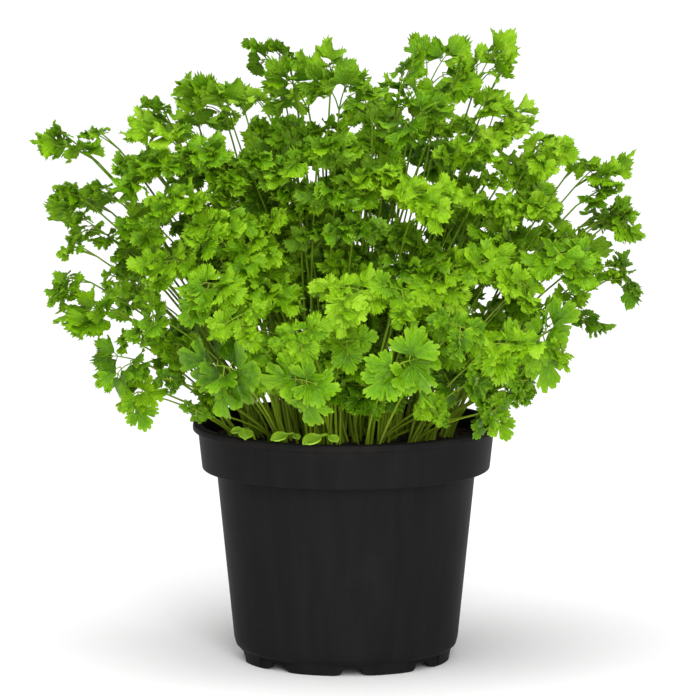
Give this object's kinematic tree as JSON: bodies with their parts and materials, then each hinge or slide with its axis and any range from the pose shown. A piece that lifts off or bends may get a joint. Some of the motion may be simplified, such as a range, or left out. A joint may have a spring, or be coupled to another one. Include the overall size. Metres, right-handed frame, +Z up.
{
  "type": "potted curly parsley",
  "caption": "Bushy curly parsley with toothed, fan-shaped leaflets on long thin stalks, growing in soil in a round black nursery pot with a banded lip.",
  "frame": {"origin": "on the pot's axis, at the plane that the foot ring stands on", "axes": "+Z up; -Y towards the pictured front; +X to the right as seen from the front"},
  "size_m": [0.2579, 0.2228, 0.267],
  "materials": {
    "pot_plastic": "satin black moulded plastic with a soft sheen",
    "potting_soil": "dark reddish brown peat with fibres and small bark crumbs",
    "parsley_leaf": "fresh green leaf, slightly glossy and crisped, paler towards the edges and on young leaves",
    "seed_leaf": "smooth yellow-green seed leaf"
  },
  "bodies": {
    "root": {"pot": "pot_plastic", "soil": "potting_soil", "parsley_plant_01": "parsley_leaf", "parsley_plant_02": "parsley_leaf", "parsley_plant_03": "parsley_leaf", "parsley_plant_04": "parsley_leaf", "parsley_plant_05": "parsley_leaf", "parsley_plant_06": "parsley_leaf", "parsley_plant_07": "parsley_leaf", "parsley_plant_08": "parsley_leaf", "parsley_plant_09": "parsley_leaf", "parsley_plant_10": "parsley_leaf", "parsley_plant_11": "parsley_leaf", "parsley_plant_12": "parsley_leaf", "parsley_plant_13": "parsley_leaf", "parsley_plant_14": "parsley_leaf", "parsley_plant_15": "parsley_leaf", "parsley_plant_16": "parsley_leaf", "parsley_plant_17": "parsley_leaf", "parsley_plant_18": "parsley_leaf", "parsley_plant_19": "parsley_leaf", "parsley_plant_20": "parsley_leaf", "parsley_plant_21": "parsley_leaf", "parsley_plant_22": "parsley_leaf", "parsley_plant_23": "parsley_leaf", "parsley_plant_24": "parsley_leaf", "parsley_plant_25": "parsley_leaf", "parsley_plant_26": "parsley_leaf", "seedling_1": "seed_leaf", "seedling_2": "seed_leaf", "seedling_3": "seed_leaf"}
  },
  "joints": []
}
